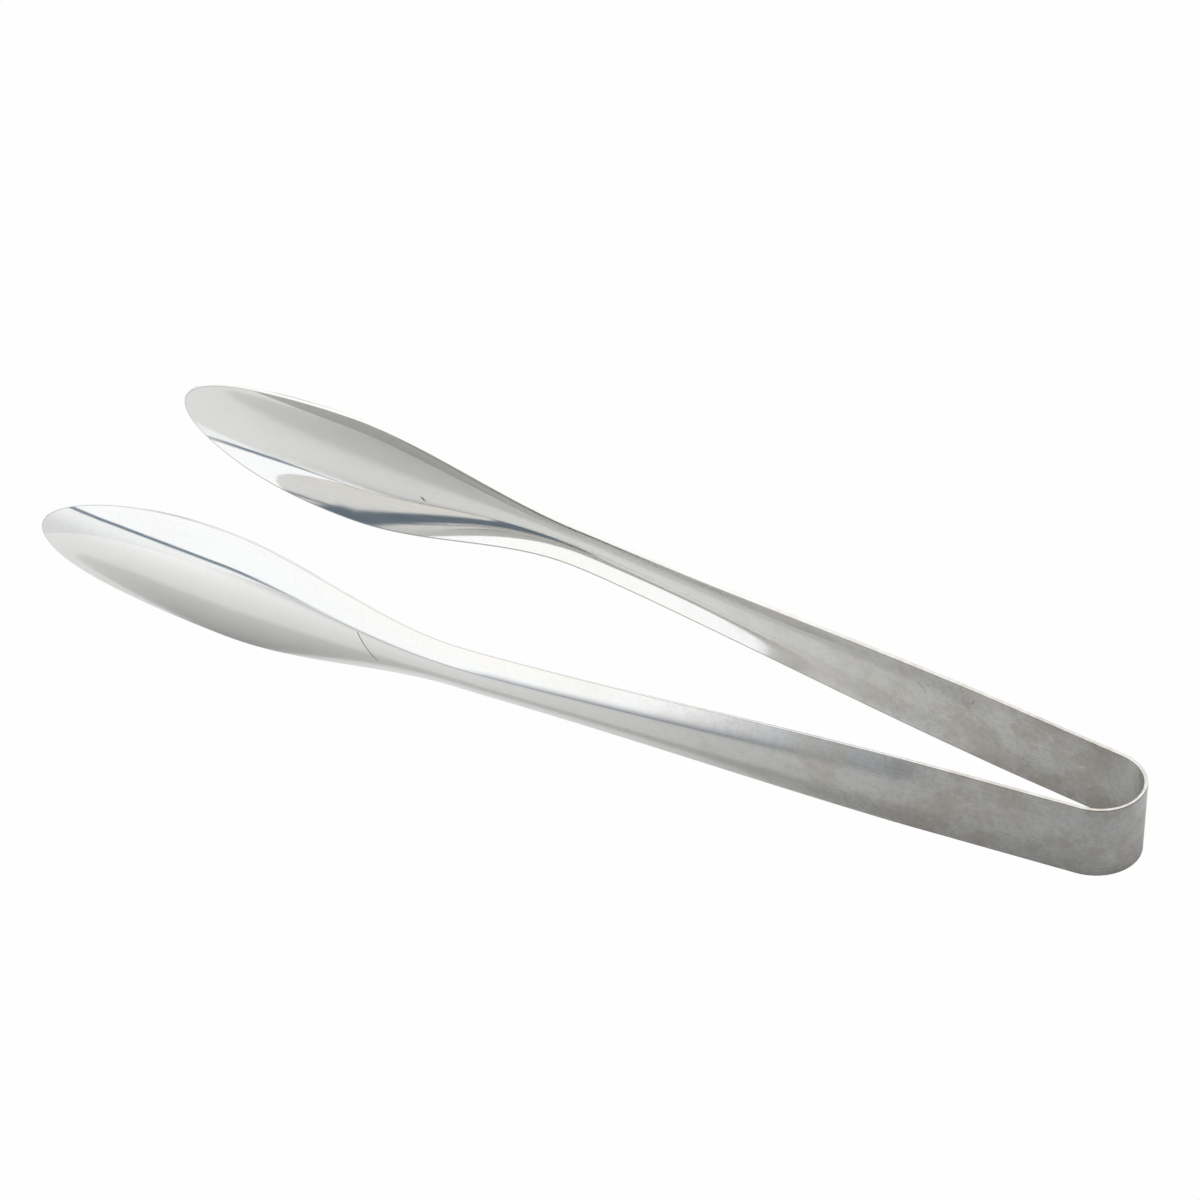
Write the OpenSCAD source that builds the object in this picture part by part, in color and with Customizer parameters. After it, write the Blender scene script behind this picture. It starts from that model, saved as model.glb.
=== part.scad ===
// Spring tongs with two spoon bowls, formed from one strip of sheet steel.
// They lie on their side: the strip's width stands up along Z, the bow is at +X
// and the bowls are at -X. The nodes are the zones of the strip, from the bow outwards.

/* [Overall] */
// Length over everything, from the back of the bow to the bowl tips
overall_l = 300; // [280:5:320]
// Angle between each arm and the centre line when nothing squeezes the tongs
half_open = 6.1; // [5:0.1:7]

/* [Strip] */
// Sheet thickness
strip_t = 1.0; // [0.8:0.1:1.2]
// Strip width at the bow and the spring leaves
strip_w = 20.4; // [19:0.2:22]
// Radius of the bow, at the middle of the sheet
bow_r = 11.8; // [10:0.1:13]
// Length of the flat spring leaf between the bow and the fluted arm
leaf_l = 30; // [26:1:40]

/* [Arm] */
// Strip width at the neck, where the arm meets the bowl
neck_w = 12.6; // [11:0.2:15]
// Depth of the flute that stiffens the arm, where it starts by the spring leaf
flute_depth = 2.0; // [1.4:0.1:2.6]
// Depth of the flute at the neck
neck_depth = 3.2; // [2.6:0.1:3.8]
// Length over which the flute runs out towards the spring leaf
flute_runout = 20; // [15:1:40]

/* [Bowl] */
// Width of a bowl across its rims
bowl_w = 33.8; // [30:0.2:38]
// Depth of a bowl under its rim
bowl_depth = 5.3; // [4.3:0.1:7]
// Length from the widest section to the tip, a half ellipse
bowl_front_l = 55.6; // [50:0.2:60]
// Length from the neck to the widest section
bowl_shoulder_l = 68.4; // [60:0.2:76]
// How far the bowl's rim stands inwards of the arm's line
rim_rise = 9.4; // [8:0.1:10]
// How far before the neck the rim starts to turn inwards
turn_before_neck = 10; // [5:1:15]
// How far past the widest section the rim runs straight again
turn_past_wide = 37; // [30:1:45]

/* [Hidden] */

// Distances u run along an arm from the end of the bow's arc.
bow_x = overall_l / 2 - bow_r - strip_t / 2;
tip_u = (bow_x + overall_l / 2 + (bow_r - rim_rise) * sin(half_open)) / cos(half_open);
wide_u = tip_u - bowl_front_l;
neck_u = wide_u - bowl_shoulder_l;
turn_start_u = neck_u - turn_before_neck;
turn_end_u = wide_u + turn_past_wide;

arm_steps = 20;
shoulder_steps = 13;
front_steps = 12;
// The last section stops just short of the ellipse's end, where the width would vanish.
last_front_angle = 88;
arc_steps = 14;

// Brushed steel along the handle and a brighter polish on the bowls
handle_steel = [0.70, 0.69, 0.67];
bowl_steel = [0.84, 0.84, 0.83];

function mix(a, b, t) = a + (b - a) * t;
function smooth(t) = let(c = min(max(t, 0), 1)) c * c * (3 - 2 * c);

// Half the strip's width between its two rims
function half_width(u) =
    u < neck_u ? mix(strip_w / 2, neck_w / 2, smooth((u - leaf_l) / (neck_u - leaf_l)))
    : u < wide_u ? mix(neck_w / 2, bowl_w / 2, smooth((u - neck_u) / bowl_shoulder_l))
    : bowl_w / 2 * sqrt(max(0, 1 - pow((u - wide_u) / bowl_front_l, 2)));

// How deep the middle of the strip lies under the line between its rims
function depth(u) =
    u < neck_u ? mix(flute_depth, neck_depth, smooth((u - leaf_l) / (neck_u - leaf_l)))
        * smooth((u - leaf_l) / flute_runout)
    : u < wide_u ? mix(neck_depth, bowl_depth, smooth((u - neck_u) / bowl_shoulder_l))
    : bowl_depth * max(0, 1 - pow((u - wide_u) / bowl_front_l, 2));

// How far the rims stand inwards of the arm's straight line
function rim_in(u) = rim_rise * smooth((u - turn_start_u) / (turn_end_u - turn_start_u));

// A point of the rear arm: u along it, n inwards from its line, z up.
function on_arm(u, n, z) = [
    bow_x + (bow_r - n) * sin(half_open) - u * cos(half_open),
    (bow_r - n) * cos(half_open) + u * sin(half_open),
    z
];

// One line of points across the strip, a parabola or straight, at an offset from the middle of the sheet.
// A positive offset is on the outer, convex side.
function across(u, offset) =
    let(w = half_width(u), d = depth(u))
    [for (i = [0:arc_steps])
        let(f = 2 * i / arc_steps - 1, a = atan(2 * d * f / w))
        on_arm(u, rim_in(u) - d * (1 - f * f) - offset * cos(a), f * w + offset * sin(a))];

// A closed stretch of formed strip through the sections at the distances in us.
module formed_strip(us) {
    row = arc_steps + 1;
    ring = 2 * row;
    last = len(us) - 1;
    points = [for (u = us) each concat(across(u, strip_t / 2), across(u, -strip_t / 2))];
    // Index of the point at section s, on the outer (0) or inner (1) side, i steps across
    function at(s, side, i) = s * ring + side * row + i;
    sides = [for (s = [0:last - 1], i = [0:arc_steps - 1]) each [
        [at(s, 0, i), at(s + 1, 0, i), at(s + 1, 0, i + 1)],
        [at(s, 0, i), at(s + 1, 0, i + 1), at(s, 0, i + 1)],
        [at(s, 1, i), at(s + 1, 1, i + 1), at(s + 1, 1, i)],
        [at(s, 1, i), at(s, 1, i + 1), at(s + 1, 1, i + 1)]
    ]];
    edges = [for (s = [0:last - 1]) each [
        [at(s, 0, 0), at(s, 1, 0), at(s + 1, 1, 0)],
        [at(s, 0, 0), at(s + 1, 1, 0), at(s + 1, 0, 0)],
        [at(s, 0, arc_steps), at(s + 1, 1, arc_steps), at(s, 1, arc_steps)],
        [at(s, 0, arc_steps), at(s + 1, 0, arc_steps), at(s + 1, 1, arc_steps)]
    ]];
    ends = [for (i = [0:arc_steps - 1]) each [
        [at(0, 0, i), at(0, 0, i + 1), at(0, 1, i + 1)],
        [at(0, 0, i), at(0, 1, i + 1), at(0, 1, i)],
        [at(last, 0, i), at(last, 1, i + 1), at(last, 0, i + 1)],
        [at(last, 0, i), at(last, 1, i), at(last, 1, i + 1)]
    ]];
    polyhedron(points, concat(sides, edges, ends), convexity = 6);
}

// How far the strip's outer corner reaches below the arm's middle line
function rim_reach(u) = half_width(u) + strip_t / 2 * sin(atan(2 * depth(u) / half_width(u)));

// At rest the tongs touch the table at the back of the bow and at the two bowls, which are wider
// than the strip, so the bow end dips by this angle.
rest_tilt = max([for (u = [neck_u:1:tip_u - 1])
    atan((rim_reach(u) - strip_w / 2) / (overall_l / 2 - on_arm(u, rim_in(u), 0)[0]))]);
rest_height = strip_w / 2 * cos(rest_tilt) + overall_l / 2 * sin(rest_tilt);
module at_rest() {
    translate([0, 0, rest_height]) rotate([0, rest_tilt, 0]) children();
}

// The rear arm's pieces are drawn as they are, and the front arm's are mirrored.
module on_side(side) {
    at_rest() mirror([0, side == "front" ? 1 : 0, 0]) children();
}

// The bend that joins the two arms
module bow() {
    color(handle_steel) at_rest()
        translate([bow_x, 0, -strip_w / 2])
            rotate([0, 0, half_open - 90])
                rotate_extrude(angle = 180 - 2 * half_open, $fn = 96)
                    translate([bow_r - strip_t / 2, 0]) square([strip_t, strip_w]);
}

// The flat stretch that bends when the tongs are squeezed
module spring_leaf(side) {
    color(handle_steel) on_side(side)
        translate(on_arm(0, 0, 0)) rotate([0, 0, 180 - half_open])
            translate([0, -strip_t / 2, -strip_w / 2]) cube([leaf_l, strip_t, strip_w]);
}

// The tapered, fluted handle
module arm(side) {
    color(handle_steel) on_side(side)
        formed_strip([for (i = [0:arm_steps]) mix(leaf_l, neck_u, i / arm_steps)]);
}

// The spoon-shaped bowl
module bowl(side) {
    color(bowl_steel) on_side(side)
        formed_strip(concat(
            [for (i = [0:shoulder_steps - 1]) mix(neck_u, wide_u, i / shoulder_steps)],
            [for (i = [0:front_steps]) wide_u + bowl_front_l * sin(last_front_angle * i / front_steps)]
        ));
}

bow();
spring_leaf("front");  // front_spring_leaf
spring_leaf("rear");  // rear_spring_leaf
arm("front");  // front_arm
arm("rear");  // rear_arm
bowl("front");  // front_bowl
bowl("rear");  // rear_bowl
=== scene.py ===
"""Looks of the serving tongs: one strip of steel, as seven pieces that stand for the seven CAD nodes.

The strip is a surface of even thickness with rounded cut edges. u runs along an arm from the end of
the bow's arc to the tip, z across the strip, and n from the arm's straight line towards the other arm.
These are in millimetres, and place() takes them to the frame, in metres.
"""
import math

import bpy
import numpy as np
from mathutils import Matrix, Vector

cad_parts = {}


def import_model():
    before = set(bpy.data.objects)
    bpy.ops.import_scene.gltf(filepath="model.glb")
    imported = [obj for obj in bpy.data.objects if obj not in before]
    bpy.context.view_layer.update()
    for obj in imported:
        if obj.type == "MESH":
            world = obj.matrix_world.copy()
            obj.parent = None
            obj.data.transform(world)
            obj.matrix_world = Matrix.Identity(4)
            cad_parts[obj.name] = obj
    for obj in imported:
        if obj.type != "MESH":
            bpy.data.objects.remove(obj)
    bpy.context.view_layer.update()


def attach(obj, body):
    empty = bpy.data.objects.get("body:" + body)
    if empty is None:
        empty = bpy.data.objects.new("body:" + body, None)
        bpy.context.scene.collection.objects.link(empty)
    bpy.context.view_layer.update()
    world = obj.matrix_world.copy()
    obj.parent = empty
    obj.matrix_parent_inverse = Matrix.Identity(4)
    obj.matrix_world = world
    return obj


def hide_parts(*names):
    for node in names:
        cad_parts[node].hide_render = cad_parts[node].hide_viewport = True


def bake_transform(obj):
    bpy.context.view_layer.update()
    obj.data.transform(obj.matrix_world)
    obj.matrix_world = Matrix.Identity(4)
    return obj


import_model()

# ---------------------------------------------------------------- dimensions, the design's own, in mm
MM = 0.001
OVERALL_L = 300.0
HALF_OPEN = math.radians(6.1)
STRIP_T = 1.0
STRIP_W = 20.4
BOW_R = 11.8
LEAF_L = 30.0
NECK_W = 12.6
FLUTE_DEPTH = 2.0
NECK_DEPTH = 3.2
FLUTE_RUNOUT = 20.0
BOWL_W = 33.8
BOWL_DEPTH = 5.3
BOWL_FRONT_L = 55.6
BOWL_SHOULDER_L = 68.4
RIM_RISE = 9.4
TURN_BEFORE_NECK = 10.0
TURN_PAST_WIDE = 37.0
# The pressed flute: the share of its width that its floor takes, how round its corners are, and the
# place along the arm from which it fades into a plain hollow
FLUTE_FLOOR = 0.37
FLUTE_ROUNDING = 0.15
FLUTE_PRESSED_TO = 90.0
# Radius on the strip's cut edges, which were tumbled smooth
EDGE_R = 0.32

SIN_OPEN, COS_OPEN = math.sin(HALF_OPEN), math.cos(HALF_OPEN)
BOW_X = OVERALL_L / 2 - BOW_R - STRIP_T / 2
TIP_U = (BOW_X + OVERALL_L / 2 + (BOW_R - RIM_RISE) * SIN_OPEN) / COS_OPEN
WIDE_U = TIP_U - BOWL_FRONT_L
NECK_U = WIDE_U - BOWL_SHOULDER_L

# Mesh density: columns across the strip, rows along each zone, and steps round half a cut edge
ACROSS = 36
EDGE_STEPS = 4
BOW_ROWS = 72
LEAF_ROWS = 24
ARM_ROWS = 90
SHOULDER_ROWS = 48
FRONT_ROWS = 36
# Half the distance over which the sheet's slope is measured, and the width taken where there is none
SLOPE_STEP = 0.02
LEAST_WIDTH = 1e-3


# ---------------------------------------------------------------- the strip's shape
def smooth(t):
    t = np.clip(t, 0, 1)
    return t * t * (3 - 2 * t)


def mix(a, b, t):
    return a + (b - a) * t


def half_width(u):
    """Half the width between the rims at u."""
    handle = mix(STRIP_W / 2, NECK_W / 2, smooth((u - LEAF_L) / (NECK_U - LEAF_L)))
    shoulder = mix(NECK_W / 2, BOWL_W / 2, smooth((u - NECK_U) / BOWL_SHOULDER_L))
    front = BOWL_W / 2 * np.sqrt(np.clip(1 - ((u - WIDE_U) / BOWL_FRONT_L) ** 2, 0, 1))
    return np.where(u < NECK_U, handle, np.where(u < WIDE_U, shoulder, front))


def depth(u):
    """How deep the middle of the strip lies under the line between its rims."""
    flute = mix(FLUTE_DEPTH, NECK_DEPTH, smooth((u - LEAF_L) / (NECK_U - LEAF_L)))
    handle = flute * smooth((u - LEAF_L) / FLUTE_RUNOUT)
    shoulder = mix(NECK_DEPTH, BOWL_DEPTH, smooth((u - NECK_U) / BOWL_SHOULDER_L))
    front = BOWL_DEPTH * np.clip(1 - ((u - WIDE_U) / BOWL_FRONT_L) ** 2, 0, 1)
    return np.where(u < NECK_U, handle, np.where(u < WIDE_U, shoulder, front))


def rim_in(u):
    """How far the rims stand inwards of the arm's straight line."""
    start, end = NECK_U - TURN_BEFORE_NECK, WIDE_U + TURN_PAST_WIDE
    return RIM_RISE * smooth((u - start) / (end - start))


def flute(u, s):
    """Depth across the section, 1 in the middle and 0 at the rims, s = -1 and 1.

    It is a parabola, but on the arm the flute has a flatter floor between straight flanks, as the lower
    of the two with the corners between them rounded off."""
    parabola = 1 - s * s
    floor, flank = 1, (1 - np.abs(s)) / (1 - FLUTE_FLOOR)
    pressed = -FLUTE_ROUNDING * np.log(np.exp(-floor / FLUTE_ROUNDING) + np.exp(-flank / FLUTE_ROUNDING))
    return mix(pressed, parabola, smooth((u - FLUTE_PRESSED_TO) / (NECK_U - FLUTE_PRESSED_TO)))


def inward(u, z):
    """n of the middle of the sheet. The bowl's front is an elliptic paraboloid."""
    x = np.maximum(u - WIDE_U, 0) / BOWL_FRONT_L
    section = depth(u) * flute(u, z / np.maximum(half_width(u), LEAST_WIDTH))
    front = BOWL_DEPTH * (1 - x * x - (2 * z / BOWL_W) ** 2)
    return rim_in(u) - np.where(u < WIDE_U, section, front)


def arm_points(u, z):
    """Points of the rear arm's middle surface, and unit normals that face the other arm."""
    n = inward(u, z)
    du = (inward(u + SLOPE_STEP, z) - inward(u - SLOPE_STEP, z)) / (2 * SLOPE_STEP)
    dz = (inward(u, z + SLOPE_STEP) - inward(u, z - SLOPE_STEP)) / (2 * SLOPE_STEP)
    along = np.array([-COS_OPEN, SIN_OPEN, 0.0])
    inwards = np.array([-SIN_OPEN, -COS_OPEN, 0.0])
    up = np.array([0.0, 0.0, 1.0])
    start = np.array([BOW_X + BOW_R * SIN_OPEN, BOW_R * COS_OPEN, 0.0])
    points = start + u[..., None] * along + n[..., None] * inwards + z[..., None] * up
    normals = inwards - du[..., None] * along - dz[..., None] * up
    return points, normals / np.linalg.norm(normals, axis=-1, keepdims=True)


def bow_points(angle, z):
    """Points of the bow's middle surface and unit normals that face its centre."""
    out = np.stack([np.cos(angle), np.sin(angle), np.zeros_like(angle)], -1)
    points = BOW_R * out + np.stack([np.full_like(z, BOW_X), np.zeros_like(z), z], -1)
    return points, -out


def rim_slope(u):
    """Angle of the sheet at its rims, across the strip."""
    return np.arctan(2 * depth(u) / np.maximum(half_width(u), LEAST_WIDTH))


def rest_tilt():
    """The bow end's dip at rest: the tongs touch the table at the bow's back corner and the bowls' rims."""
    u = np.arange(NECK_U, TIP_U - 1, 1.0)
    reach = half_width(u) + STRIP_T / 2 * np.sin(rim_slope(u))
    back = OVERALL_L / 2 - (BOW_X + (BOW_R - rim_in(u)) * SIN_OPEN - u * COS_OPEN)
    return float(np.max(np.arctan((reach - STRIP_W / 2) / back)))


TILT = rest_tilt()
LIFT = STRIP_W / 2 * math.cos(TILT) + OVERALL_L / 2 * math.sin(TILT)
TURN = np.array([[math.cos(TILT), 0, math.sin(TILT)], [0, 1, 0], [-math.sin(TILT), 0, math.cos(TILT)]])


def place(points):
    """From the part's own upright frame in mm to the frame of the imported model, in metres."""
    return (points @ TURN.T + [0, 0, LIFT]) * MM


# ---------------------------------------------------------------- meshes
def edge_profile():
    """The cut edge's section from the top face to the bottom one: (outwards, up, normal out, normal up)."""
    straight = STRIP_T / 2 - EDGE_R
    upper = []
    for k in range(EDGE_STEPS + 1):
        a = math.pi / 2 * (1 - k / EDGE_STEPS)
        upper.append((EDGE_R * math.cos(a), straight + EDGE_R * math.sin(a), math.cos(a), math.sin(a)))
    return upper + [(out, -up, normal_out, -normal_up) for out, up, normal_out, normal_up in reversed(upper)]


def sheet_solid(name, points, normals, strip_u, free_end):
    """A closed mesh of the sheet over a grid of middle points: rows along the strip, columns across it.

    The two long sides are cut edges, rounded off. Row 0 is a flat seam to the next zone, and so is the
    last row unless free_end says that it is a cut edge too."""
    rows, cols = points.shape[:2]
    count = rows * cols
    top = np.arange(count).reshape(rows, cols)
    bottom = top + count
    half = STRIP_T / 2
    xyz = [(points + half * normals).reshape(-1, 3), (points - half * normals).reshape(-1, 3)]
    nrm = [normals.reshape(-1, 3), -normals.reshape(-1, 3)]
    across = np.linspace(-1, 1, cols)
    uv = [np.stack(np.broadcast_arrays(strip_u, across[None, :]), -1).reshape(-1, 2)] * 2
    # x is 1 on the cut edges. y is 1 on the inside face, 0 on the outside one and 0.5 on the cut edges
    on_edge = [np.tile([0.0, 1.0], (count, 1)), np.tile([0.0, 0.0], (count, 1))]
    # The cut edges, in order: along column 0, round the free end if there is one, and back up the last column
    there = [(i, 0) for i in range(rows)]
    back = [(i, cols - 1) for i in reversed(range(rows))]
    round_end = [(rows - 1, j) for j in range(1, cols - 1)]
    runs = [there + round_end + back] if free_end else [there, back]
    faces, caps = [], []
    for i in range(rows - 1):
        for j in range(cols - 1):
            faces.append((top[i, j], top[i + 1, j], top[i + 1, j + 1], top[i, j + 1]))
            faces.append((bottom[i, j], bottom[i, j + 1], bottom[i + 1, j + 1], bottom[i + 1, j]))
    total = 2 * count
    ring_of = {}
    for run in runs:
        at = np.array([points[i, j] for i, j in run])
        up = np.array([normals[i, j] for i, j in run])
        tangent = np.gradient(at, axis=0)
        tangent /= np.linalg.norm(tangent, axis=1, keepdims=True)
        out = np.cross(tangent, up)
        # A point well away from the corners tells which way is outwards
        k = len(run) // 4
        if np.dot(out[k], at[k] - points[run[k][0], cols // 2]) < 0:
            out = -out
        out /= np.linalg.norm(out, axis=1, keepdims=True)
        rings = []
        for outwards, upwards, normal_out, normal_up in edge_profile()[1:-1]:
            xyz.append(at + outwards * out + upwards * up)
            nrm.append(normal_out * out + normal_up * up)
            uv.append(np.array([[strip_u[i, j], across[j]] for i, j in run]))
            on_edge.append(np.tile([1.0, 0.5], (len(run), 1)))
            rings.append(total + np.arange(len(run)))
            total += len(run)
        tops = np.array([top[i, j] for i, j in run])
        bottoms = np.array([bottom[i, j] for i, j in run])
        rings = [tops] + rings + [bottoms]
        for m in range(len(rings) - 1):
            for k in range(len(run) - 1):
                faces.append((rings[m][k], rings[m + 1][k], rings[m + 1][k + 1], rings[m][k + 1]))
        for k in (0, len(run) - 1):
            ring_of[run[k]] = [int(r[k]) for r in rings]
    # Flat caps close the seams: quads across the sheet, and the section of the rounding at both cut edges
    seams = [(0, 1)] if free_end else [(0, 1), (rows - 1, -1)]
    for i, step in seams:
        for j in range(cols - 1):
            quad = (top[i, j], top[i, j + 1], bottom[i, j + 1], bottom[i, j])
            caps.append(quad[::step])
        for j, turn in ((0, 1), (cols - 1, -1)):
            caps.append(tuple(ring_of[(i, j)][:: -turn * step]))
    layers = {"strip": np.concatenate(uv), "edge": np.concatenate(on_edge)}
    return mesh_object(name, np.concatenate(xyz), np.concatenate(nrm), layers, faces, caps)


def mesh_object(name, xyz, nrm, layers, faces, caps):
    """A mesh with the surface's own normals, so that no seam shows between zones, and flat end caps."""
    faces = [tuple(int(v) for v in f) for f in faces]
    caps = [tuple(int(v) for v in f) for f in caps]
    # If the first face looks into the sheet they all do, as in a mirrored zone, and are turned round
    quad = faces[0]
    facing = np.cross(xyz[quad[1]] - xyz[quad[0]], xyz[quad[3]] - xyz[quad[0]])
    if np.dot(facing, nrm[quad[0]]) < 0:
        faces = [f[::-1] for f in faces]
        caps = [f[::-1] for f in caps]
    mesh = bpy.data.meshes.new(name)
    mesh.from_pydata(place(xyz).tolist(), [], faces + caps)
    mesh.update()
    turned = nrm @ TURN.T
    loops = []
    for p in mesh.polygons:
        p.use_smooth = True
        is_cap = p.index >= len(faces)
        loops += [tuple(p.normal) if is_cap else tuple(turned[v]) for v in p.vertices]
    corners = [v for p in mesh.polygons for v in p.vertices]
    for layer_name, uv in layers.items():
        layer = mesh.uv_layers.new(name=layer_name)
        layer.data.foreach_set("uv", uv[corners].astype(np.float32).ravel())
    mesh.normals_split_custom_set(loops)
    obj = bpy.data.objects.new(name, mesh)
    bpy.context.scene.collection.objects.link(obj)
    return obj


def inset(u):
    """How far short of the rim's outline the grid stops, to leave the edge's rounding inside it."""
    return EDGE_R * np.cos(rim_slope(np.minimum(u, WIDE_U)))


def mirrored(values, side):
    """The rear arm's points or normals, mirrored for the front arm."""
    return values * [1, -1, 1] if side == "front" else values


def arm_zone(name, side, us):
    """A stretch of arm between two seams."""
    u, s = np.meshgrid(us, np.linspace(-1, 1, ACROSS + 1), indexing="ij")
    points, normals = arm_points(u, s * (half_width(u) - inset(u)))
    return sheet_solid(name, mirrored(points, side), mirrored(normals, side), u, False)


def bowl_zone(name, side):
    """A bowl: straight rows from the neck to the widest section, then rows that bend round the front."""
    us = np.linspace(NECK_U, WIDE_U, SHOULDER_ROWS + 1)
    u, s = np.meshgrid(us, np.linspace(-1, 1, ACROSS + 1), indexing="ij")
    z = s * (half_width(u) - inset(u))
    # Past the widest section a square grid is eased onto half an ellipse, so nothing pinches at the tip
    x, y = np.meshgrid(np.linspace(0, 1, FRONT_ROWS + 1)[1:], np.linspace(-1, 1, ACROSS + 1), indexing="ij")
    tip_inset = EDGE_R * math.cos(math.atan(2 * BOWL_DEPTH / BOWL_FRONT_L))
    front_u = WIDE_U + (BOWL_FRONT_L - tip_inset) * x * np.sqrt(1 - y * y / 2)
    front_z = (BOWL_W / 2 - float(inset(np.array(WIDE_U)))) * y * np.sqrt(1 - x * x / 2)
    u, z = np.vstack([u, front_u]), np.vstack([z, front_z])
    points, normals = arm_points(u, z)
    return sheet_solid(name, mirrored(points, side), mirrored(normals, side), u, True)


def bow_zone(name):
    """The bend, from the front arm's side to the rear one's."""
    reach = math.pi / 2 - HALF_OPEN
    angles = np.linspace(-reach, reach, BOW_ROWS + 1)
    angle, s = np.meshgrid(angles, np.linspace(-1, 1, ACROSS + 1), indexing="ij")
    points, normals = bow_points(angle, s * (STRIP_W / 2 - EDGE_R))
    return sheet_solid(name, points, normals, -BOW_R * (reach - np.abs(angle)), False)


# ---------------------------------------------------------------- materials
class Nodes:
    """A short way to write node trees: each call adds a node and gives back its output."""

    def __init__(self, tree):
        self.tree = tree

    def add(self, kind, out=0, settings=None, **inputs):
        """A node. In the name of an input, _ stands for a space, and i0 is input number 0."""
        node = self.tree.nodes.new(kind)
        for key, value in (settings or {}).items():
            setattr(node, key, value)
        for key, value in inputs.items():
            key = int(key[1:]) if key[0] == "i" and key[1:].isdigit() else key.replace("_", " ")
            self.put(node.inputs[key], value)
        return node.outputs[out]

    def put(self, socket, value):
        if isinstance(value, bpy.types.NodeSocket):
            self.tree.links.new(value, socket)
        else:
            socket.default_value = value

    def math(self, operation, a, b=0.0, c=0.0):
        return self.add("ShaderNodeMath", settings={"operation": operation}, i0=a, i1=b, i2=c)

    def times(self, first, *others):
        """The product of all the values."""
        for value in others:
            first = self.math("MULTIPLY", first, value)
        return first

    def plus(self, first, *others):
        """The sum of all the values."""
        for value in others:
            first = self.math("ADD", first, value)
        return first

    def ramp(self, x, low, high, to_low=0.0, to_high=1.0):
        """A smooth step from to_low at low to to_high at high."""
        return self.add("ShaderNodeMapRange", settings={"interpolation_type": "SMOOTHSTEP"},
                        Value=x, From_Min=low, From_Max=high, To_Min=to_low, To_Max=to_high)

    def band(self, x, start, full, fading, end):
        """0 up to start, 1 from full to fading, and 0 again from end, with smooth steps between."""
        return self.times(self.ramp(x, start, full), self.ramp(x, fading, end, 1.0, 0.0))

    def mixed(self, blending, fac, a, b):
        """A mix of two colours. Its sockets 6, 7 and output 2 are the ones for colours."""
        mix_node = self.tree.nodes.new("ShaderNodeMix")
        mix_node.data_type, mix_node.blend_type = "RGBA", blending
        for index, value in ((0, fac), (6, a), (7, b)):
            self.put(mix_node.inputs[index], value)
        return mix_node.outputs[2]

    def blend(self, fac, a, b):
        """Colour a where fac is 0 and b where it is 1."""
        return self.mixed("MIX", fac, a, b)

    def tint(self, colour, mask, by):
        """The colour, multiplied by another where the mask is 1."""
        return self.mixed("MULTIPLY", mask, colour, by)

    def axis(self, vector, name):
        """The part of a vector along X, Y or Z."""
        return self.add("ShaderNodeSeparateXYZ", name, Vector=vector)

    def uv(self, layer, name):
        """The X or Y of a UV layer."""
        return self.axis(self.add("ShaderNodeUVMap", settings={"uv_map": layer}), name)

    def noise(self, at, scale, detail, roughness):
        return self.add("ShaderNodeTexNoise", Vector=at, Scale=scale, Detail=detail, Roughness=roughness)

    def streaks(self, along, across, per_mm, over_width, offset, detail, roughness):
        """Noise drawn out along the strip, with so many waves in a mm along it and over half its width."""
        x, y = self.times(along, per_mm), self.times(across, over_width)
        at = self.add("ShaderNodeCombineXYZ", X=x, Y=y, Z=offset)
        return self.noise(at, 1.0, detail, roughness)


def node_material(name):
    """A new material and its nodes."""
    material = bpy.data.materials.new(name)
    material.use_nodes = True
    return material, Nodes(material.node_tree)


# Scratches and a dark line on the neck: where along the strip one crosses the middle, in mm; how far along
# it leans from the middle to a rim, in mm; where it begins and ends across the strip, from -1 to 1; and half
# its width, in mm
HANDLE_SCUFFS = [
    (57.0, 9.0, 0.10, 0.42, 0.12),
    (47.0, -6.0, 0.45, 0.70, 0.12),
    (41.0, 14.0, 0.20, 0.45, 0.10),
]
# A thin dark line across the outside of the front neck
NECK_DARK_LINE = [(190.2, 7.4, -0.46, 0.36, 0.22)]
BOWL_PIT = [(222.3, 20.0, -0.41, -0.31, 0.55)]
# How much of a scratch's half width is at full strength, and the part of the strip over which its ends fade
SCRATCH_CORE, SCRATCH_FADE = 0.4, 0.04

# Colours of the steel, each as satin and as polished
CLEAN = (0.665, 0.657, 0.642, 1), (0.700, 0.692, 0.676, 1)
STAINED = (0.582, 0.545, 0.505, 1), (0.670, 0.655, 0.625, 1)
# What multiplies them on mottled spots, between hairlines, on the cut edge's corners, where it is painted
# shade, and in a thin line across the strip
SPOT_TINT = (0.84, 0.82, 0.79, 1)
HAIRLINE_TINT = (0.88, 0.88, 0.875, 1)
# Painted shade on the cut edge's corners, a dark outline along the edge
CORNER_SHADE_TINT = (0.22, 0.22, 0.23, 1)
SCRATCH_TINT = (0.15, 0.14, 0.13, 1)
# Where the buffing starts, in mm along the strip
BUFFED_FROM = 20.0
# Roughness: of the satin and the polished steel, what a full stain adds, and the least that is left
SATIN_ROUGHNESS, POLISHED_ROUGHNESS, STAIN_ROUGHNESS, LEAST_ROUGHNESS = 0.26, 0.05, 0.06, 0.03
# How fine the stains and the spots are, in waves per metre
STAIN_SCALE, SPOT_SCALE = 90.0, 650.0


def scratch(n, along, across, u, lean, low, high, width):
    """A mask, 1 on one thin line across the strip."""
    off = n.math("ABSOLUTE", n.math("SUBTRACT", along, n.plus(n.times(across, lean), u)))
    line = n.ramp(off, SCRATCH_CORE * width, width, 1.0, 0.0)
    return n.times(line, n.band(across, low, low + SCRATCH_FADE, high - SCRATCH_FADE, high))


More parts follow.
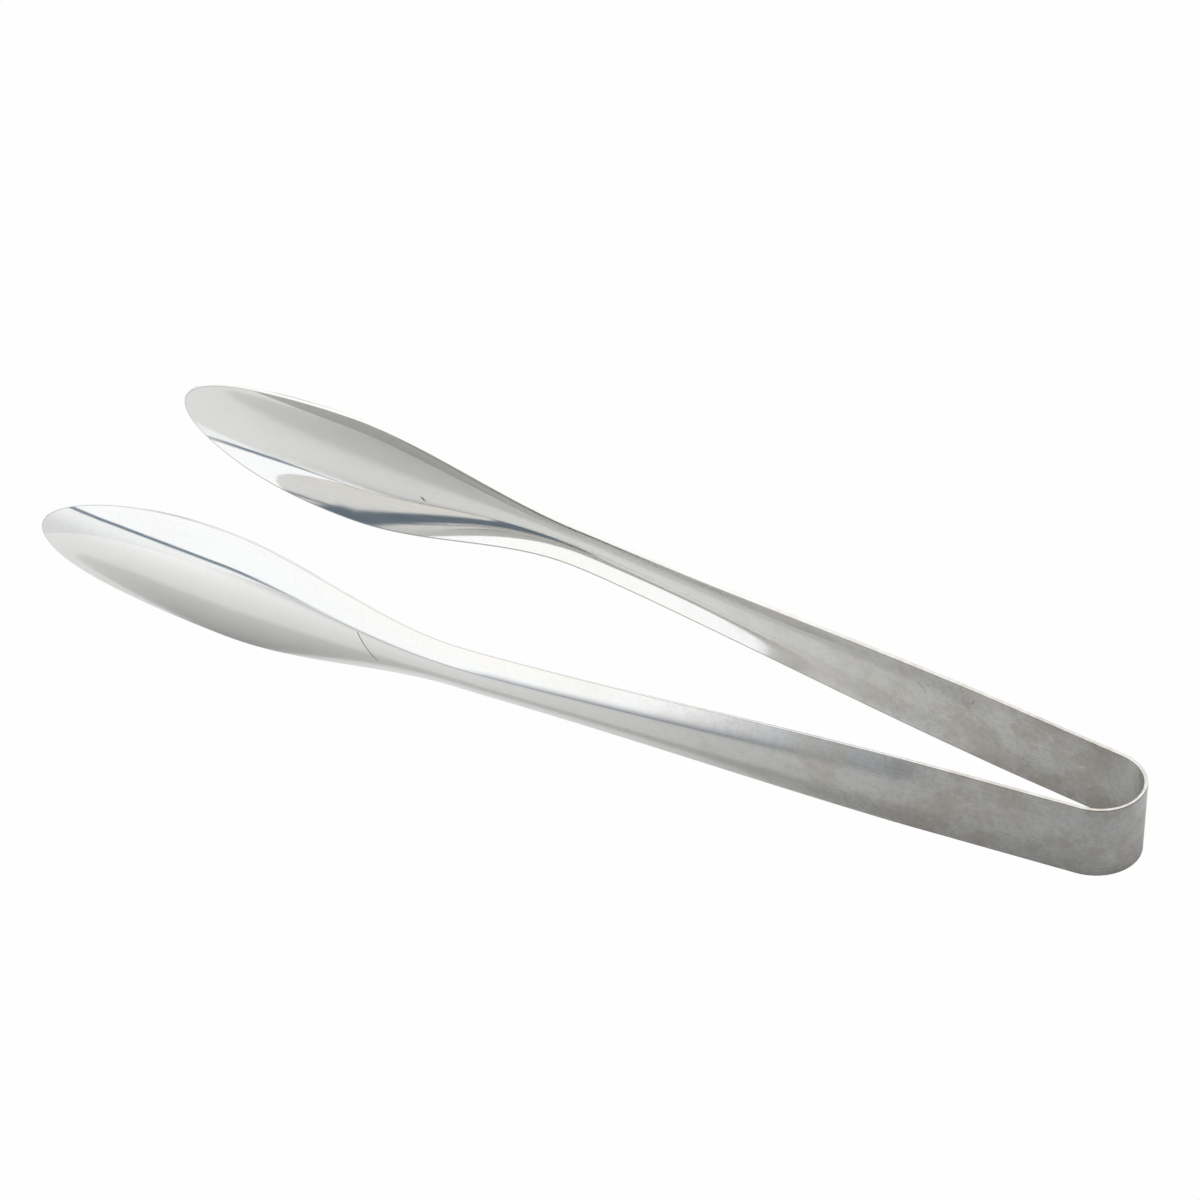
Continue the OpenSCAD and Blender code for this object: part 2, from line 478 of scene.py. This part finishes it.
def steel(name, preview, marks, outside):
    """Worn stainless steel that goes from satin at the bow to polished at the bowls.

    The look depends on where a point lies on the strip, so it runs on over the seams. preview is the grey
    of the plain viewport. marks are the thin lines across the strip, on the outside or the inside of it."""
    material, n = node_material(name)
    bsdf = material.node_tree.nodes["Principled BSDF"]
    along, across = n.uv("strip", "X"), n.uv("strip", "Y")
    place_on = n.add("ShaderNodeTexCoord", "Object")
    # How polished the strip is here: the buffing is complete from the neck on
    buffed = n.ramp(along, BUFFED_FROM, NECK_U)
    # Hairlines along the strip from the brushing wheel, long ones and finer, shorter ones
    hair = n.streaks(along, across, per_mm=0.03, over_width=60.0, offset=0.0, detail=4.0, roughness=0.65)
    fine = n.streaks(along, across, per_mm=0.15, over_width=80.0, offset=7.0, detail=3.0, roughness=0.6)
    # Water stains and finger marks, broad and blotchy, and a fine mottling
    stain = n.ramp(n.noise(place_on, STAIN_SCALE, detail=7.0, roughness=0.7), 0.42, 0.62)
    worn = n.times(stain, n.ramp(along, LEAF_L, NECK_U, 1.0, 0.25))
    spots = n.ramp(n.noise(place_on, SPOT_SCALE, detail=4.0, roughness=0.7), 0.40, 0.66)
    spots = n.times(spots, n.ramp(buffed, 0.0, 1.0, 0.60, 0.12))
    brushed = n.times(n.ramp(hair, 0.35, 0.65, 1.0, 0.0), n.ramp(buffed, 0.0, 1.0, 1.0, 0.3))
    # Painted shade: a dark line along both corners of the cut edge, in place of the edge's thin dark outline.
    # The edge layer passes a half there, on its way from the faces' 0 to the cut edge's 1
    edge = n.uv("edge", "X")
    corner_shade = n.times(edge, n.math("SUBTRACT", 1.0, edge), 4.0)
    colour = n.blend(worn, n.blend(buffed, *CLEAN), n.blend(buffed, *STAINED))
    colour = n.tint(colour, spots, SPOT_TINT)
    colour = n.tint(colour, brushed, HAIRLINE_TINT)
    # Painted shade: the dark line on the cut edge's corners
    colour = n.tint(colour, corner_shade, CORNER_SHADE_TINT)
    face = n.uv("edge", "Y")
    marked_face = n.ramp(face, 0.1, 0.4, 1.0, 0.0) if outside else n.ramp(face, 0.6, 0.9)
    for mark in marks:
        colour = n.tint(colour, n.times(marked_face, scratch(n, along, across, *mark)), SCRATCH_TINT)
    n.put(bsdf.inputs["Base Color"], colour)
    bsdf.inputs["Metallic"].default_value = 1
    rough = n.ramp(buffed, 0.0, 1.0, SATIN_ROUGHNESS, POLISHED_ROUGHNESS)
    rough = n.plus(rough, n.ramp(hair, 0.3, 0.7, -0.02, 0.03), n.times(worn, STAIN_ROUGHNESS))
    n.put(bsdf.inputs["Roughness"], n.math("MAXIMUM", rough, LEAST_ROUGHNESS))
    # The hairlines' relief, which the buffing takes away
    fine_relief = n.times(fine, n.ramp(buffed, 0.0, 0.7, 1.0, 0.06))
    long_relief = n.times(hair, n.ramp(buffed, 0.0, 0.7, 0.5, 0.03))
    bump = n.add("ShaderNodeBump", Height=n.plus(fine_relief, long_relief), Strength=0.06, Distance=0.00005)
    n.put(bsdf.inputs["Normal"], bump)
    material.diffuse_color = (preview, preview, preview, 1)
    return material


SATIN = steel("satin_steel", preview=0.60, marks=HANDLE_SCUFFS, outside=False)
FRONT_POLISHED = steel("front_polished_steel", preview=0.70, marks=NECK_DARK_LINE, outside=True)
REAR_POLISHED = steel("rear_polished_steel", preview=0.70, marks=BOWL_PIT, outside=False)


# ---------------------------------------------------------------- the seven pieces
def finish_piece(obj, material, node):
    """Gives a mesh its steel and its slot, and hides the CAD node it stands for."""
    obj.data.materials.append(material)
    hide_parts(node)


bow = bow_zone("bow_steel")
finish_piece(bow, SATIN, "bow")
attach(bow, "bow")
for side in ("front", "rear"):
    leaf = arm_zone(f"{side}_leaf_steel", side, np.linspace(0, LEAF_L, LEAF_ROWS + 1))
    finish_piece(leaf, SATIN, f"{side}_spring_leaf")
    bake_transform(leaf)
    arm = arm_zone(f"{side}_arm_steel", side, np.linspace(LEAF_L, NECK_U, ARM_ROWS + 1))
    finish_piece(arm, SATIN, f"{side}_arm")
    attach(arm, f"{side}_arm")
    bowl = bowl_zone(f"{side}_bowl_steel", side)
    finish_piece(bowl, FRONT_POLISHED if side == "front" else REAR_POLISHED, f"{side}_bowl")
    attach(bowl, f"{side}_arm")

# ---------------------------------------------------------------- floor, light and camera
# The table top that the steel mirrors, in metres
TABLE_LEFT, TABLE_RIGHT, TABLE_FRONT, TABLE_BACK = -0.165, 0.6, -0.24, 0.6
# The table's colours, with painted light and shade: bright in front, dimmed from the tongs back, shaded in
# front of the bow, and a dark stripe
TABLE_BRIGHT = (0.97, 0.985, 1.0, 1)
TABLE_DIMMED = (0.73, 0.74, 0.745, 1)
TABLE_SHADED = (0.17, 0.18, 0.19, 1)
TABLE_DARK_STRIPE = (0.12, 0.155, 0.19, 1)
# The backdrop: half its side, its height just under the table, and its glow just short of white
BACKDROP_HALF, BACKDROP_Z, BACKDROP_GLOW = 4.0, -0.0004, 0.99

# The studio is painted by direction. Places in it are parts of a unit vector: x, y, z, or sums of them.
# The way to the softbox, azimuth 165 degrees, and how much height adds to a direction's brightness
SOFTBOX_X, SOFTBOX_Y, LIT_BY_HEIGHT = -0.966, 0.259, 0.3
# Where the dark room ends and the softbox is full, and their brightness
ROOM_TO, SOFTBOX_FROM = -0.125, 0.065
ROOM_LIGHT, SOFTBOX_LIGHT, CEILING_LIGHT = 0.27, 1.38, 1.5
# The dark gap under the softbox, past the table's edge, from and to this height
GAP_LOW, GAP_TOP = -0.096, -0.052
COOL_LIGHT = (0.980, 1.0, 1.030, 1)
WARM_LIGHT = (1.0, 1.0, 0.985, 1)
ROOM_COLOUR = (0.88, 1.0, 1.14, 1)
GAP_COLOUR = (0.25, 0.32, 0.40, 1)


def rectangle(name, left, right, front, back, height):
    """A flat piece of the stage, which is no part of the tongs."""
    mesh = bpy.data.meshes.new(name)
    corners = [(left, front), (right, front), (right, back), (left, back)]
    mesh.from_pydata([(x, y, height) for x, y in corners], [], [(0, 1, 2, 3)])
    obj = bpy.data.objects.new(name, mesh)
    bpy.context.scene.collection.objects.link(obj)
    return obj


def backdrop():
    """The clean white ground that the camera sees. It lights nothing and isn't mirrored in the steel."""
    obj = rectangle("backdrop", -BACKDROP_HALF, BACKDROP_HALF, -BACKDROP_HALF, BACKDROP_HALF, BACKDROP_Z)
    obj.visible_glossy = obj.visible_diffuse = obj.visible_shadow = False
    material, n = node_material("backdrop_white")
    glow = n.add("ShaderNodeEmission", Color=(1, 1, 1, 1), Strength=BACKDROP_GLOW)
    n.put(material.node_tree.nodes["Material Output"].inputs["Surface"], glow)
    obj.data.materials.append(material)


def table():
    """The table top that the steel mirrors and the camera doesn't see, with the tongs' shadow on it.

    Painted light and shade in its colour: brightest in front on the left, dimmer from the tongs back,
    shaded in front of the bow, and one dark stripe behind the tongs. All places on it are in metres."""
    obj = rectangle("table", TABLE_LEFT, TABLE_RIGHT, TABLE_FRONT, TABLE_BACK, 0.0)
    obj.visible_camera = False
    material, n = node_material("table_white_painted_shade")
    bsdf = material.node_tree.nodes["Principled BSDF"]
    place_on = n.add("ShaderNodeTexCoord", "Object")
    x, y = n.axis(place_on, "X"), n.axis(place_on, "Y")
    # Painted light and shade: bright in front on the left, dimmed from the tongs back, and shaded in front of
    # the bow
    left = n.blend(n.ramp(y, -0.14, -0.02), TABLE_BRIGHT, TABLE_DIMMED)
    shadewards = n.math("SUBTRACT", n.times(x, 0.6), n.times(y, 0.8))
    colour = n.blend(n.ramp(shadewards, -0.03, 0.20), left, TABLE_SHADED)
    # A dark stripe behind the tongs, on the left
    across_stripe = n.plus(x, n.times(y, 0.5))
    seam = n.times(n.band(across_stripe, -0.18, -0.165, -0.135, -0.12), n.ramp(y, 0.03, 0.06))
    n.put(bsdf.inputs["Base Color"], n.blend(seam, colour, TABLE_DARK_STRIPE))
    bsdf.inputs["Roughness"].default_value = 0.9
    bsdf.inputs["Specular IOR Level"].default_value = 0.0
    obj.data.materials.append(material)


def key_light():
    """A light above and behind the tongs, for their shadow on the table. The steel doesn't mirror it."""
    data = bpy.data.lights.new("key", "SUN")
    data.energy = 0.7
    data.angle = math.radians(9)
    lamp = bpy.data.objects.new("key", data)
    lamp.visible_glossy = False
    lamp.rotation_euler = (math.radians(-24), 0, 0)
    bpy.context.scene.collection.objects.link(lamp)


def world():
    """The studio: a softbox on the left, a bright ceiling, a dark room on the right, and two dark gaps."""
    w = bpy.data.worlds.new("studio")
    w.use_nodes = True
    n = Nodes(w.node_tree)
    way = n.add("ShaderNodeTexCoord", "Generated")
    x, y, z = n.axis(way, "X"), n.axis(way, "Y"), n.axis(way, "Z")
    side = n.plus(n.times(x, SOFTBOX_X), n.times(y, SOFTBOX_Y))
    lit = n.plus(side, n.times(z, LIT_BY_HEIGHT))
    # The room and the softbox dim downwards from the gap, and are a little brighter above it
    room = n.times(n.ramp(lit, ROOM_TO, SOFTBOX_FROM, ROOM_LIGHT, SOFTBOX_LIGHT),
                   n.ramp(z, -0.5, GAP_LOW, 0.72, 0.95),
                   n.ramp(z, GAP_LOW, GAP_TOP, 1.0, 1.09))
    light = n.math("MAXIMUM", room, n.ramp(z, 0.50, 0.80, 0.0, CEILING_LIGHT))
    # A thin dark gap under the softbox, and a slanting one at the back, both only on the softbox's side
    under = n.times(n.band(z, GAP_LOW - 0.004, GAP_LOW + 0.004, GAP_TOP - 0.005, GAP_TOP + 0.005),
                    n.ramp(side, 0.06, 0.20))
    across_slant = n.plus(x, n.times(z, 0.2))
    slanting = n.times(n.band(across_slant, -0.54, -0.50, -0.41, -0.38), n.ramp(y, 0.3, 0.5))
    gap = n.times(n.math("MAXIMUM", under, slanting), n.ramp(side, -0.05, 0.15))
    # The light is cool near the horizon and warm from the ceiling. The dark room is blue near the horizon
    colour = n.blend(n.ramp(z, 0.2, 0.7), COOL_LIGHT, WARM_LIGHT)
    not_room = n.math("MAXIMUM", n.ramp(lit, ROOM_TO, SOFTBOX_FROM), n.ramp(z, 0.0, 0.12))
    not_room = n.math("MAXIMUM", not_room, n.ramp(z, -0.25, -0.15, 1.0, 0.0))
    colour = n.blend(not_room, ROOM_COLOUR, colour)
    colour = n.blend(gap, colour, GAP_COLOUR)
    light = n.plus(n.times(light, n.math("SUBTRACT", 1.0, gap)), gap)
    background = w.node_tree.nodes["Background"]
    n.put(background.inputs["Color"], colour)
    n.put(background.inputs["Strength"], light)
    bpy.context.scene.world = w


def camera():
    """The camera stands where it sees the tongs as the reference view does."""
    azimuth, elevation, roll = math.radians(31.21), math.radians(36.01), math.radians(-1.54)
    distance, look_at = 1.3777, Vector((-0.01944, 0.03022, 0.0))
    flat = math.cos(elevation)
    back = Vector((math.sin(azimuth) * flat, -math.cos(azimuth) * flat, math.sin(elevation)))
    right = Vector((0, 0, 1)).cross(back).normalized()
    up = back.cross(right)
    right, up = right * math.cos(roll) + up * math.sin(roll), up * math.cos(roll) - right * math.sin(roll)
    data = bpy.data.cameras.new("camera")
    data.sensor_width = 36.0
    data.lens = 158.8
    data.clip_start, data.clip_end = 0.05, 20.0
    cam = bpy.data.objects.new("camera", data)
    bpy.context.scene.collection.objects.link(cam)
    m = Matrix((right, up, back)).transposed().to_4x4()
    m.translation = look_at + back * distance
    cam.matrix_world = m
    bpy.context.scene.camera = cam


backdrop()
table()
key_light()
world()
camera()
bpy.context.scene.view_settings.view_transform = "Standard"
